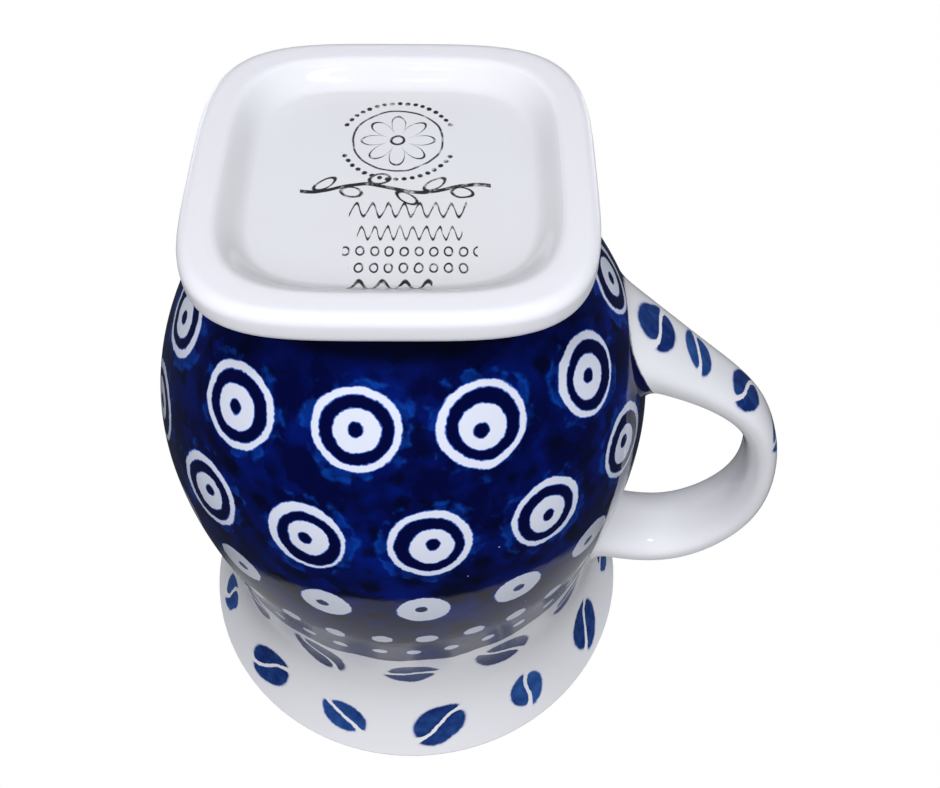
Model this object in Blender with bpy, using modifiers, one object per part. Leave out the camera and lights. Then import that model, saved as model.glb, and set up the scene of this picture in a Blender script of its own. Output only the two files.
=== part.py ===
"""Stoneware mug: round belly, flared collar, square foot and strap handle.

The mug stands upright on its square foot, which rests on the plane z = 0.  The handle points
along +X, and the mug is symmetric about the plane y = 0.  The origin is at the centre of the
base of the mug's bounding box, so the cup's own axis lies a little to -X of it.

Units are metres.
"""

import math

import bmesh
import bpy
from mathutils import Vector

# ---------------------------------------------------------------- driving dimensions
MM = 0.001

HEIGHT = 111.0 * MM             # foot plane to the top of the lip
FOOT_SIDE = 55.0 * MM           # across the flats of the square foot
FOOT_THICKNESS = 5.0 * MM       # thickness of the slab at its edge
FOOT_SQUARENESS = 4.0           # exponent of the superellipse: 2 is round, 4 a soft square
FOOT_EDGE_RADIUS = 1.4 * MM
FOOT_RING_WIDTH = 4.0 * MM      # from the slab's side to where the recess starts
RECESS_DEPTH = 3.0 * MM
RECESS_SLOPE_WIDTH = 4.6 * MM
RECESS_SLOPE_STEPS = 6
FOOT_EDGE_STEPS = 3
LIP_STEPS = 6

# Hollow fillet from the slab up to the waist: distance out from the waist, height over the slab.
FOOT_FILLET = ((1.9 * MM, 0.1 * MM), (0.6 * MM, 0.7 * MM))

WAIST_RADIUS = 20.4 * MM        # the narrow stretch between the slab and the belly
WAIST_Z = 6.4 * MM
BELLY_RADIUS = 39.8 * MM
BELLY_Z = 49.5 * MM             # height of the widest point
NECK_RADIUS = 35.1 * MM
NECK_Z = 88.0 * MM
LIP_RADIUS = 41.4 * MM          # outermost point of the flared lip
LIP_ROUNDING = 1.6 * MM
WALL = 4.0 * MM
WALL_THINS_BELOW_LIP = 8.0 * MM # over this height the wall thins to the lip's half round

# Lengths of the Bezier handles that shape the outline, and the points taken on each stretch.
WAIST_PULL = 2.5 * MM
BELLY_PULL_DOWN = 25.0 * MM
BELLY_PULL_UP = 16.0 * MM
NECK_PULL_DOWN = 11.0 * MM
NECK_PULL_UP = 7.0 * MM
LIP_PULL = (4.6 * MM, 7.5 * MM) # inwards and down
LOWER_BELLY_STEPS = 10
UPPER_BELLY_STEPS = 8
COLLAR_STEPS = 7

SLIP = 0.6 * MM                 # thickness of the clay slip in every luted joint
GAP = 0.3 * MM                  # clearance that touching pieces keep
SEAT = SLIP + 2.0 * GAP         # from one clay face to the other across a slip joint
SLIP_MARGIN = 0.1 * MM          # slip ends this far from the wall's face, or swells past it

FOOT_SEAM_Z = 7.0 * MM          # seat for the belly on top of the foot
SPIGOT_RADIUS = 16.9 * MM       # round plug of the foot that enters the belly
SPIGOT_TOP_Z = 9.0 * MM         # it is also the floor of the cup
BORE_ABOVE_SPIGOT = 1.0 * MM    # the belly's bore runs on this far past the spigot's top
CUP_FLOOR_RISE = 1.4 * MM       # and the hollow of the cup starts this far above it
NECK_SEAM_Z = 77.6 * MM         # outer seat of the lap joint between belly and collar
LAP_STEP = 2.0 * MM             # height of the step in the lap joint

HANDLE_ROOT_SINK = 6.0 * MM     # how far the strap runs into the wall before it is trimmed
HANDLE_SECTION_RATIO = 0.50     # strap thickness over strap width
HANDLE_SECTION_POWER = 2.4      # superellipse exponent of the strap's section
PAD_MARGIN = 1.10               # slip pads spread this much wider than the strap's end

SEGMENTS = 56                   # facets round every turned piece
STRAP_FACETS = 20               # facets round the strap

# Centre line of the strap in the plane y = 0: distance from the cup axis, height, half width.
HANDLE_PATH = (
    (36.7 * MM, 35.8 * MM, 9.2 * MM),
    (49.9 * MM, 45.6 * MM, 6.3 * MM),
    (59.6 * MM, 55.8 * MM, 5.5 * MM),
    (63.8 * MM, 70.2 * MM, 5.8 * MM),
    (61.2 * MM, 85.2 * MM, 6.6 * MM),
    (51.2 * MM, 94.2 * MM, 7.2 * MM),
    (34.0 * MM, 91.4 * MM, 7.6 * MM),
)
CLAY_WHITE = (0.78, 0.78, 0.76, 1.0)
GLAZE_WHITE = (0.86, 0.87, 0.88, 1.0)
COBALT = (0.006, 0.016, 0.135, 1.0)
SLIP_GREY = (0.55, 0.53, 0.50, 1.0)


# ---------------------------------------------------------------- scene and helpers
def clear_scene():
    for obj in list(bpy.data.objects):
        bpy.data.objects.remove(obj, do_unlink=True)


def new_collection(name):
    collection = bpy.data.collections.new(name)
    bpy.context.scene.collection.children.link(collection)
    return collection


def new_material(name, colour, roughness):
    material = bpy.data.materials.new(name)
    material.use_nodes = True
    shader = material.node_tree.nodes["Principled BSDF"]
    shader.inputs["Base Color"].default_value = colour
    shader.inputs["Roughness"].default_value = roughness
    shader.inputs["Metallic"].default_value = 0.0
    material.diffuse_color = colour
    return material


def add_object(name, data, collection, parent, material=None):
    obj = bpy.data.objects.new(name, data)
    collection.objects.link(obj)
    obj.parent = parent
    if material is not None:
        data.materials.append(material)
    return obj


def hide_cutter(obj):
    obj.hide_render = True
    obj.display_type = "WIRE"
    return obj


def bezier(start, start_handle, end_handle, end, count):
    """Points of one cubic Bezier in the (radius, height) plane, the end left out."""
    points = []
    for step in range(count):
        t = step / count
        s = 1.0 - t
        weights = (s ** 3, 3.0 * s * s * t, 3.0 * s * t * t, t ** 3)
        corners = (start, start_handle, end_handle, end)
        points.append(tuple(
            sum(w * corner[axis] for w, corner in zip(weights, corners)) for axis in (0, 1)
        ))
    return points


# ---------------------------------------------------------------- outline of the mug
def outer_outline():
    """Outer face of the cup from the waist up to the lip, as (radius, height) points."""
    waist = (WAIST_RADIUS, WAIST_Z)
    belly = (BELLY_RADIUS, BELLY_Z)
    neck = (NECK_RADIUS, NECK_Z)
    lip = (LIP_RADIUS, HEIGHT - LIP_ROUNDING)
    points = bezier(
        waist, (WAIST_RADIUS, WAIST_Z + WAIST_PULL),
        (BELLY_RADIUS, BELLY_Z - BELLY_PULL_DOWN), belly, LOWER_BELLY_STEPS,
    )
    points += bezier(
        belly, (BELLY_RADIUS, BELLY_Z + BELLY_PULL_UP),
        (NECK_RADIUS, NECK_Z - NECK_PULL_DOWN), neck, UPPER_BELLY_STEPS,
    )
    points += bezier(
        neck, (NECK_RADIUS, NECK_Z + NECK_PULL_UP),
        (lip[0] - LIP_PULL[0], lip[1] - LIP_PULL[1]), lip, COLLAR_STEPS,
    )
    return points + [lip]


def offset_outline(points, distance):
    """The same outline moved outwards along its normals; a negative distance moves it in."""
    moved = []
    for index, (radius, height) in enumerate(points):
        before = points[max(index - 1, 0)]
        after = points[min(index + 1, len(points) - 1)]
        along = Vector((after[0] - before[0], after[1] - before[1])).normalized()
        moved.append((radius + along.y * distance, height - along.x * distance))
    return moved


def cut_outline(points, low, high):
    """The stretch of an outline between two heights, with its ends placed on those heights."""
    def at_height(height):
        for first, second in zip(points, points[1:]):
            if first[1] <= height <= second[1]:
                t = (height - first[1]) / (second[1] - first[1])
                return (first[0] + t * (second[0] - first[0]), height)
        return (points[0][0] if height < points[0][1] else points[-1][0], height)

    margin = 0.4 * MM
    inside = [point for point in points if low + margin < point[1] < high - margin]
    return [at_height(low)] + inside + [at_height(high)]


def turned(name, outline, collection, parent, material=None):
    """A closed outline of (radius, height) points, clockwise from the top, turned about Z."""
    mesh = bpy.data.meshes.new(name)
    vertices = [(radius, 0.0, height) for radius, height in outline]
    edges = [(i, (i + 1) % len(vertices)) for i in range(len(vertices))]
    mesh.from_pydata(vertices, edges, [])
    obj = add_object(name, mesh, collection, parent, material)
    screw = obj.modifiers.new("Turn", "SCREW")
    screw.steps = SEGMENTS
    screw.render_steps = SEGMENTS
    screw.use_merge_vertices = True
    screw.merge_threshold = 0.00001
    screw.use_smooth_shade = True
    return obj


def ring_outline(outer, inner):
    """Closed outline of a ring: down its outer side, then up its inner side."""
    return list(reversed(outer)) + list(inner)


# ---------------------------------------------------------------- foot
def superellipse_ring(half_side, exponent, height):
    """One ring of points round the foot: a soft square, or a circle at exponent 2."""
    points = []
    for step in range(SEGMENTS):
        angle = 2.0 * math.pi * step / SEGMENTS
        c, s = math.cos(angle), math.sin(angle)
        radius = half_side / (abs(c) ** exponent + abs(s) ** exponent) ** (1.0 / exponent)
        points.append((radius * c, radius * s, height))
    return points


def foot_stations():
    """(half side, exponent, height) of each ring, from the recess floor round to the spigot."""
    half = FOOT_SIDE / 2.0
    square = FOOT_SQUARENESS
    ring_inner = half - FOOT_RING_WIDTH
    floor_edge = ring_inner - RECESS_SLOPE_WIDTH
    stations = []

    # Sloping wall of the recess: a smooth step from the floor down to the foot ring.
    for step in range(RECESS_SLOPE_STEPS + 1):
        t = step / RECESS_SLOPE_STEPS
        smooth = t * t * (3.0 - 2.0 * t)
        stations.append((floor_edge + t * RECESS_SLOPE_WIDTH, square, RECESS_DEPTH * (1.0 - smooth)))

    # Rounded outer edge of the slab, below and above.
    for step in range(FOOT_EDGE_STEPS + 1):
        angle = 0.5 * math.pi * step / FOOT_EDGE_STEPS
        inset = FOOT_EDGE_RADIUS * (1.0 - math.sin(angle))
        stations.append((half - inset, square, FOOT_EDGE_RADIUS * (1.0 - math.cos(angle))))
    for step in range(FOOT_EDGE_STEPS + 1):
        angle = 0.5 * math.pi * step / FOOT_EDGE_STEPS
        inset = FOOT_EDGE_RADIUS * (1.0 - math.cos(angle))
        height = FOOT_THICKNESS - FOOT_EDGE_RADIUS * (1.0 - math.sin(angle))
        stations.append((half - inset, square, height))

    # Top of the slab, hollow fillet up to the round waist, and the seat for the belly.
    for outwards, rise in FOOT_FILLET:
        stations.append((WAIST_RADIUS + outwards, 2.0, FOOT_THICKNESS + rise))
    stations.append((WAIST_RADIUS, 2.0, WAIST_Z))
    stations.append((WAIST_RADIUS, 2.0, FOOT_SEAM_Z))
    stations.append((SPIGOT_RADIUS, 2.0, FOOT_SEAM_Z))
    stations.append((SPIGOT_RADIUS, 2.0, SPIGOT_TOP_Z))
    return stations


def make_foot(collection, parent, material):
    rings = [superellipse_ring(*station) for station in foot_stations()]
    mesh = bpy.data.meshes.new("foot_slab")
    solid = bmesh.new()
    loops = [[solid.verts.new(point) for point in ring] for ring in rings]
    for lower, upper in zip(loops, loops[1:]):
        for i in range(SEGMENTS):
            j = (i + 1) % SEGMENTS
            solid.faces.new((lower[i], lower[j], upper[j], upper[i]))
    solid.faces.new(list(reversed(loops[0])))
    solid.faces.new(loops[-1])
    bmesh.ops.recalc_face_normals(solid, faces=solid.faces)
    solid.to_mesh(mesh)
    solid.free()
    mesh.shade_smooth()
    mesh.set_sharp_from_angle(angle=math.radians(40.0))
    return add_object("foot_slab", mesh, collection, parent, material)


# ---------------------------------------------------------------- belly, collar and their slip
def make_belly(collection, parent, material):
    """Open ring of clay: bored at the bottom for the foot's spigot, stepped at the top."""
    bottom = FOOT_SEAM_Z + SEAT
    outer = cut_outline(outer_outline(), bottom, NECK_SEAM_Z)
    inner_wall = offset_outline(outer_outline(), -WALL)
    bore = SPIGOT_RADIUS + GAP
    inner = [(bore, bottom), (bore, SPIGOT_TOP_Z + BORE_ABOVE_SPIGOT)]
    stretch = cut_outline(inner_wall, SPIGOT_TOP_Z + CUP_FLOOR_RISE, NECK_SEAM_Z - LAP_STEP)
    inner += [point for point in stretch if point[0] > bore]
    mid = outer[-1][0] - WALL / 2.0
    inner += [(mid, NECK_SEAM_Z - LAP_STEP), (mid, NECK_SEAM_Z)]
    return turned("belly_shell", ring_outline(outer, inner), collection, parent, material)


def make_collar(collection, parent, material):
    """Flared collar with a rounded lip; its inner edge drops into the belly's step."""
    bottom = NECK_SEAM_Z + SEAT
    outline = outer_outline()
    outer = cut_outline(outline, bottom, HEIGHT - LIP_ROUNDING)
    mid = cut_outline(outline, bottom - SEAT, HEIGHT - LIP_ROUNDING)[0][0] - WALL / 2.0
    spigot = mid - SEAT
    inner_wall = offset_outline(outline, -WALL)
    inner = [(outer[0][0] - WALL - SLIP_MARGIN, bottom - LAP_STEP)]
    inner += cut_outline(inner_wall, bottom, HEIGHT - WALL_THINS_BELOW_LIP)[1:]

    # The wall thins towards the lip, which is a half round.
    lip_centre = (LIP_RADIUS - LIP_ROUNDING, HEIGHT - LIP_ROUNDING)
    lip = []
    for step in range(1, LIP_STEPS + 1):
        angle = math.pi * step / LIP_STEPS
        lip.append((
            lip_centre[0] + LIP_ROUNDING * math.cos(angle),
            lip_centre[1] + LIP_ROUNDING * math.sin(angle),
        ))
    step_down = [(spigot, bottom - LAP_STEP), (spigot, bottom)]
    closed = outer + lip + list(reversed(inner)) + step_down
    return turned("collar", list(reversed(closed)), collection, parent, material)


def make_neck_slip(collection, parent, material):
    """Slip in the lap joint between belly and collar, an L in section."""
    outer_radius = cut_outline(outer_outline(), NECK_SEAM_Z, HEIGHT)[0][0]
    mid = outer_radius - WALL / 2.0
    low = NECK_SEAM_Z - LAP_STEP + GAP
    high = NECK_SEAM_Z + GAP
    corners = [
        (outer_radius - SLIP_MARGIN, high + SLIP),
        (outer_radius - SLIP_MARGIN, high),
        (mid - GAP, high),
        (mid - GAP, low),
        (outer_radius - WALL + SLIP_MARGIN, low),
        (outer_radius - WALL + SLIP_MARGIN, low + SLIP),
        (mid - GAP - SLIP, low + SLIP),
        (mid - GAP - SLIP, high + SLIP),
    ]
    return turned("neck_slip_joint", corners, collection, parent, material)


def make_foot_slip(collection, parent, material):
    """Flat ring of slip between the foot's seat and the belly."""
    low = FOOT_SEAM_Z + GAP
    outer = WAIST_RADIUS + SLIP_MARGIN
    inner = SPIGOT_RADIUS + GAP
    corners = [(outer, low + SLIP), (outer, low), (inner, low), (inner, low + SLIP)]
    return turned("foot_slip_joint", corners, collection, parent, material)


# ---------------------------------------------------------------- handle
def strap_section(name, collection, parent):
    """Flat curve of the strap's section, one unit in half width, for a curve's bevel."""
    curve = bpy.data.curves.new(name, "CURVE")
    curve.dimensions = "2D"
    spline = curve.splines.new("POLY")
    spline.points.add(STRAP_FACETS - 1)
    power = 2.0 / HANDLE_SECTION_POWER
    for index, point in enumerate(spline.points):
        angle = 2.0 * math.pi * index / STRAP_FACETS
        c, s = math.cos(angle), math.sin(angle)
        across = math.copysign(abs(c) ** power, c)
        through = math.copysign(abs(s) ** power, s) * HANDLE_SECTION_RATIO
        point.co = (across, through, 0.0, 1.0)
    spline.use_cyclic_u = True
    return hide_cutter(add_object(name, curve, collection, parent))


def swept_strap(name, stations, section, collection, parent):
    """Mesh of the strap's section swept along (radius, height, half width) stations."""
    curve = bpy.data.curves.new(name + "_path", "CURVE")
    curve.dimensions = "3D"
    curve.twist_mode = "MINIMUM"
    curve.resolution_u = 5
    curve.bevel_mode = "OBJECT"
    curve.bevel_object = section
    curve.use_fill_caps = True
    spline = curve.splines.new("BEZIER")
    spline.bezier_points.add(len(stations) - 1)
    for point, (radius, height, half_width) in zip(spline.bezier_points, stations):
        point.co = (radius, 0.0, height)
        point.radius = half_width
        point.handle_left_type = "AUTO"
        point.handle_right_type = "AUTO"
    path = add_object(name + "_path", curve, collection, parent)
    bpy.context.view_layer.update()
    evaluated = path.evaluated_get(bpy.context.evaluated_depsgraph_get())
    mesh = bpy.data.meshes.new_from_object(evaluated)
    mesh.name = name
    solid = bmesh.new()
    solid.from_mesh(mesh)
    bmesh.ops.remove_doubles(solid, verts=solid.verts, dist=0.00001)
    bmesh.ops.recalc_face_normals(solid, faces=solid.faces)
    solid.to_mesh(mesh)
    solid.free()
    bpy.data.objects.remove(path, do_unlink=True)
    return mesh


def wall_body(name, distance, collection, parent):
    """Solid core of the cup, its outer face moved outwards by a distance."""
    outer = offset_outline(outer_outline(), distance)
    outline = [(0.0, outer[-1][1])] + list(reversed(outer)) + [(0.0, outer[0][1])]
    return hide_cutter(turned(name, outline, collection, parent))


def cut(target, cutter, operation):
    modifier = target.modifiers.new(operation.title(), "BOOLEAN")
    modifier.operation = operation
    modifier.object = cutter
    modifier.solver = "EXACT"


def beyond(end, inner):
    """A station past the strap's end, deeper in the wall, on the line from the next one in."""
    along = Vector((end[0] - inner[0], end[1] - inner[1])).normalized() * HANDLE_ROOT_SINK
    return (end[0] + along.x, end[1] + along.y, end[2])


def make_handle(section, collection, cutters, parent, material):
    """The strap, trimmed by the cup's wall at both ends so that slip fits between them."""
    first = beyond(HANDLE_PATH[0], HANDLE_PATH[1])
    last = beyond(HANDLE_PATH[-1], HANDLE_PATH[-2])
    mesh = swept_strap("handle", [first, *HANDLE_PATH, last], section, cutters, parent)
    handle = add_object("handle", mesh, collection, parent, material)
    mesh.shade_smooth()
    mesh.set_sharp_from_angle(angle=math.radians(50.0))
    cut(handle, wall_body("handle_trim", SEAT, cutters, parent), "DIFFERENCE")
    return handle


def make_pad(name, root, section, skins, collection, cutters, parent, material):
    """Pad of slip between one end of the strap and the wall.

    root is the strap's first stations at that end, from the wall outwards.
    """
    stations = [beyond(root[0], root[1]), *root]
    wider = [(radius, height, half * PAD_MARGIN) for radius, height, half in stations]
    mesh = swept_strap(name, wider, section, cutters, parent)
    pad = add_object(name, mesh, collection, parent, material)
    outer_skin, inner_skin = skins
    cut(pad, outer_skin, "INTERSECT")
    cut(pad, inner_skin, "DIFFERENCE")
    return pad


# ---------------------------------------------------------------- the whole mug
def main():
    clear_scene()
    parts = new_collection("stoneware_mug")
    cutters = new_collection("cutters")
    axis = bpy.data.objects.new("cup_axis", None)
    parts.objects.link(axis)

    bisque = new_material("foot_clay", CLAY_WHITE, 0.55)
    cobalt = new_material("cobalt_glaze", COBALT, 0.12)
    white = new_material("white_glaze", GLAZE_WHITE, 0.15)
    strap_white = new_material("handle_glaze", GLAZE_WHITE, 0.15)
    slip = new_material("clay_slip", SLIP_GREY, 0.8)

    make_foot(parts, axis, bisque)
    make_foot_slip(parts, axis, slip)
    make_belly(parts, axis, cobalt)
    make_neck_slip(parts, axis, slip)
    make_collar(parts, axis, white)
    section = strap_section("strap_section", cutters, axis)
    handle = make_handle(section, parts, cutters, axis, strap_white)
    skins = (
        wall_body("pad_outer_face", GAP + SLIP, cutters, axis),
        wall_body("pad_inner_face", GAP, cutters, axis),
    )
    lower_root = HANDLE_PATH[:3]
    upper_root = HANDLE_PATH[:-4:-1]
    make_pad("lower_handle_slip", lower_root, section, skins, parts, cutters, axis, slip)
    make_pad("upper_handle_slip", upper_root, section, skins, parts, cutters, axis, slip)

    # The mug's box runs from the lip on one side to the strap on the other: centre it on x = 0.
    reach = max(vertex.co.x for vertex in handle.data.vertices)
    axis.location.x = -(reach - LIP_RADIUS) / 2.0
    bpy.context.view_layer.update()


main()
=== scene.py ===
"""Looks of the stoneware mug: glazed skins over the packed clay pieces, painted by shader nodes.

The mug stands upright, with its cup axis along Z and its handle along +X.  The camera looks up at
the square foot from below and hangs upside down, so that the picture shows the mug turned over.
Sizes are in millimetres and angles in degrees until a mesh, a light or the camera is made.
"""

import math
from collections import namedtuple

import bpy
import numpy as np
from mathutils import Matrix, Vector


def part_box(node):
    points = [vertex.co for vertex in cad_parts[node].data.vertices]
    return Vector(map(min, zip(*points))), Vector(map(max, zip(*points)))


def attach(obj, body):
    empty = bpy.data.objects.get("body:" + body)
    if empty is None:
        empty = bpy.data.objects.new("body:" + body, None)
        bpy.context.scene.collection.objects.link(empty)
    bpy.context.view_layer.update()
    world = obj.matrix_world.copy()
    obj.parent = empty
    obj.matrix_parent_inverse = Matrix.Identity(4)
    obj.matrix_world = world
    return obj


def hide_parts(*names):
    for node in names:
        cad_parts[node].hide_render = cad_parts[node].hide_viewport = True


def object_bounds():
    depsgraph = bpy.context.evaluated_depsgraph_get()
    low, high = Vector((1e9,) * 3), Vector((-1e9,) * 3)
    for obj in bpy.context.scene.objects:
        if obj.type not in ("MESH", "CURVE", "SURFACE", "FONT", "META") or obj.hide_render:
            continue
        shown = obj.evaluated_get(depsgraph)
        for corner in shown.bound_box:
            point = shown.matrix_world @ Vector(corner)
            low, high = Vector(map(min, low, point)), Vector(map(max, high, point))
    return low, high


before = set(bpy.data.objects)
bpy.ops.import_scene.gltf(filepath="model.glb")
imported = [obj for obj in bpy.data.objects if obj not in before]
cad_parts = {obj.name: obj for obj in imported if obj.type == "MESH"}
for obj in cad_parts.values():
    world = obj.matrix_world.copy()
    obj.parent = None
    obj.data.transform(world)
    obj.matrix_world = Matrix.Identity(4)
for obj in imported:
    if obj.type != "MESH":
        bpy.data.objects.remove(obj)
cad_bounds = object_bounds()

MM = 0.001

# ---- shape of the mug
foot_low, foot_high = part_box("foot_slab")
AXIS_X = (foot_low.x + foot_high.x) / 2.0 / MM  # the cup's axis, in the row frame
FOOT_HALF = (foot_high.x - foot_low.x) / 2.0 / MM
HEIGHT = cad_bounds[1].z / MM

WAIST_RADIUS, WAIST_Z = 20.4, 6.4
BELLY_RADIUS, BELLY_Z = 39.8, 49.5
NECK_RADIUS, NECK_Z = 35.1, 88.0
LIP_RADIUS, LIP_ROUNDING = 41.4, 1.6
WALL, LIP_WALL = 4.0, 3.2
WALL_THINS_OVER = 16.0  # height below the lip
CORE_RADIUS = 1.0  # where a closed end stops short of the axis

# Lengths of the Bezier handles that shape the outline.
WAIST_PULL = 2.5
BELLY_PULL_DOWN, BELLY_PULL_UP = 25.0, 16.0
NECK_PULL_DOWN, NECK_PULL_UP = 11.0, 7.0
LIP_PULL = (4.6, 7.5)  # inwards and down

COLLAR_SEAM_Z = 78.2  # hidden joint between belly and collar
CUP_FLOOR_Z = 9.0
CUP_FLOOR_RADIUS = 15.0

FOOT_THICKNESS = 5.0
FOOT_SQUARENESS = 4.0  # superellipse exponent
FOOT_EDGE_RADIUS = 1.7
FOOT_RING_WIDTH = 4.0
FOOT_FILLET = 2.4  # out from the waist, on top of the slab
RECESS_DEPTH = 3.0
RECESS_SLOPE_WIDTH = 4.6

ROUND_STEPS = 240  # facets round the cup and foot
SHARP_ANGLE = math.radians(50.0)

# Strap's centre line in the plane y = 0: distance from the cup's axis, height, half width.
HANDLE_PATH = (
    (36.7, 35.8, 9.2),
    (49.9, 45.6, 6.3),
    (59.6, 55.8, 5.5),
    (63.8, 70.2, 5.8),
    (61.2, 85.2, 6.6),
    (51.2, 94.2, 7.2),
    (34.0, 91.4, 7.6),
)
STRAP_RATIO = 0.50  # thickness over width
STRAP_POWER = 2.4
STRAP_ROUND_STEPS = 72
STRAP_STEPS = 110
STRAP_SAMPLES = 600
STRAP_OVERRUN = 6.0  # the path runs on this far into the wall
FILLET_STEPS = 8
FILLET_PULL = 0.62  # Bezier handles, as shares of reach and spread
FILLET_SINK = 1.2  # the fillet ends this deep in the wall
# How far up the strap and along the wall each root flares: on the inner side, and more outside.
LOW_REACH, LOW_SPREAD = (3.6, 2.0), (1.7, 1.1)
TOP_REACH, TOP_SPREAD = (2.6, 2.0), (1.8, 0.8)


def bezier(start, start_handle, end_handle, end, count):
    """Points of one cubic Bezier, or rows of many side by side, with the end left out."""
    corners = [np.array(corner, float) for corner in (start, start_handle, end_handle, end)]
    t = np.linspace(0.0, 1.0, count, endpoint=False).reshape(-1, *[1] * corners[0].ndim)
    s = 1.0 - t
    weights = (s ** 3, 3.0 * s * s * t, 3.0 * s * t * t, t ** 3)
    return sum(weight * corner for weight, corner in zip(weights, corners))


def cup_outline():
    """Outer face of the cup from the waist to the lip, as (radius, height) rows."""
    waist = (WAIST_RADIUS, WAIST_Z)
    belly = (BELLY_RADIUS, BELLY_Z)
    neck = (NECK_RADIUS, NECK_Z)
    lip = (LIP_RADIUS, HEIGHT - LIP_ROUNDING)
    return np.vstack([
        bezier(waist, (WAIST_RADIUS, WAIST_Z + WAIST_PULL),
               (BELLY_RADIUS, BELLY_Z - BELLY_PULL_DOWN), belly, 64),
        bezier(belly, (BELLY_RADIUS, BELLY_Z + BELLY_PULL_UP),
               (NECK_RADIUS, NECK_Z - NECK_PULL_DOWN), neck, 48),
        bezier(neck, (NECK_RADIUS, NECK_Z + NECK_PULL_UP),
               (lip[0] - LIP_PULL[0], lip[1] - LIP_PULL[1]), lip, 32),
        [lip],
    ])


OUTLINE = cup_outline()
OUTLINE_ARC = np.concatenate([[0.0], np.cumsum(np.hypot(*np.diff(OUTLINE, axis=0).T))])


def outer_radius(height):
    return np.interp(height, OUTLINE[:, 1], OUTLINE[:, 0])


def arc_at(height):
    """Distance along the outline from the waist up to a height."""
    return float(np.interp(height, OUTLINE[:, 1], OUTLINE_ARC))


def arc_slope(height):
    """Distance along the outline gained for each millimetre of height."""
    return (arc_at(height + 1.0) - arc_at(height - 1.0)) / 2.0


# ---- meshes
def add_object(name, data):
    made = bpy.data.objects.new(name, data)
    bpy.context.scene.collection.objects.link(made)
    return made


def mesh_piece(name, rings, arcs, extra=None, joined=False):
    """A closed piece from rings of points of equal count.

    rings is an array (ring, point, xyz) in the cup's own millimetres; arcs gives each point's
    distance along the profile, kept as the attribute "arc".  extra adds other attributes.  Both
    ends are capped, unless joined says that the last ring meets the first.
    """
    count, around = rings.shape[:2]
    points = (rings.reshape(-1, 3) + (AXIS_X, 0.0, 0.0)) * MM
    faces = []
    for ring in range(count if joined else count - 1):
        low, high = ring * around, (ring + 1) % count * around
        for i in range(around):
            j = (i + 1) % around
            faces.append((low + i, low + j, high + j, high + i))
    if not joined:
        last = (count - 1) * around
        faces.append(tuple(range(around - 1, -1, -1)))
        faces.append(tuple(range(last, last + around)))
    mesh = bpy.data.meshes.new(name)
    mesh.from_pydata(points.tolist(), [], faces)
    values = {"arc": np.broadcast_to(arcs, rings.shape[:2]), **(extra or {})}
    for key, value in values.items():
        attribute = mesh.attributes.new(key, "FLOAT", "POINT")
        attribute.data.foreach_set("value", np.ascontiguousarray(value, np.float32).ravel())
    mesh.shade_smooth()
    mesh.set_sharp_from_angle(angle=SHARP_ANGLE)
    return add_object(name, mesh)


def turned_rings(profile):
    """Rings of a turned profile, with the faint unevenness of hand-finished clay."""
    angle = np.linspace(0.0, 2.0 * math.pi, ROUND_STEPS, endpoint=False)
    radius, height = profile[:, 0:1], profile[:, 1:2]
    wobble = 1.0 + 0.0015 * np.sin(2.0 * angle + 0.05 * height)
    wobble = wobble + 0.001 * np.cos(3.0 * angle - 0.04 * height)
    x = radius * wobble * np.cos(angle)
    y = radius * wobble * np.sin(angle)
    return np.stack([x, y, np.broadcast_to(height, x.shape)], axis=2)


def offset_inwards(profile, distance):
    """The profile moved in along its normals by a distance that may differ at each point."""
    along = unit(np.gradient(profile, axis=0))
    return profile + np.stack([-along[:, 1], along[:, 0]], axis=1) * np.reshape(distance, (-1, 1))


def profile_arcs(profile, start):
    steps = np.hypot(*np.diff(profile, axis=0).T)
    return (start + np.concatenate([[0.0], np.cumsum(steps)]))[:, None]


def outline_between(low, high):
    """Outline points between two heights, with close rows next to both ends."""
    heights = OUTLINE[(OUTLINE[:, 1] > low + 0.4) & (OUTLINE[:, 1] < high - 0.4), 1]
    heights = np.concatenate([[low, low + 0.1], heights, [high - 0.1, high]])
    return np.stack([outer_radius(heights), heights], axis=1)


def inner_face():
    """Inside of the cup from the lip down to the edge of its floor."""
    edge = OUTLINE[OUTLINE[:, 1] > CUP_FLOOR_Z + 2.0][::-2]
    thinning = np.clip((edge[:, 1] - (HEIGHT - WALL_THINS_OVER)) / WALL_THINS_OVER, 0.0, 1.0)
    inside = offset_inwards(edge[::-1], WALL + (LIP_WALL - WALL) * thinning[::-1])[::-1]
    return inside[inside[:, 1] > CUP_FLOOR_Z + 4.0]


def make_belly():
    """Belly shell: outer face from waist to seam, and the cup's inside below the seam."""
    outer = outline_between(WAIST_Z, COLLAR_SEAM_Z)
    inner = inner_face()
    inner = inner[inner[:, 1] < COLLAR_SEAM_Z - 1.0]
    inner_top = np.array([[outer_radius(COLLAR_SEAM_Z) - WALL, COLLAR_SEAM_Z]])
    turn = bezier(inner[-1], inner[-1] - (1.5, 2.5), (CUP_FLOOR_RADIUS + 3.0, CUP_FLOOR_Z),
                  (CUP_FLOOR_RADIUS, CUP_FLOOR_Z), 10)[1:]
    floor = np.array([[radius, CUP_FLOOR_Z] for radius in (CUP_FLOOR_RADIUS, 8.0, CORE_RADIUS)])
    profile = np.vstack([[[CORE_RADIUS, WAIST_Z]], outer, inner_top, inner, turn, floor])
    arcs = profile_arcs(profile, arc_at(outer[0, 1]) - (outer[0, 0] - CORE_RADIUS))
    return mesh_piece("belly_glazed", turned_rings(profile), arcs)


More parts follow.
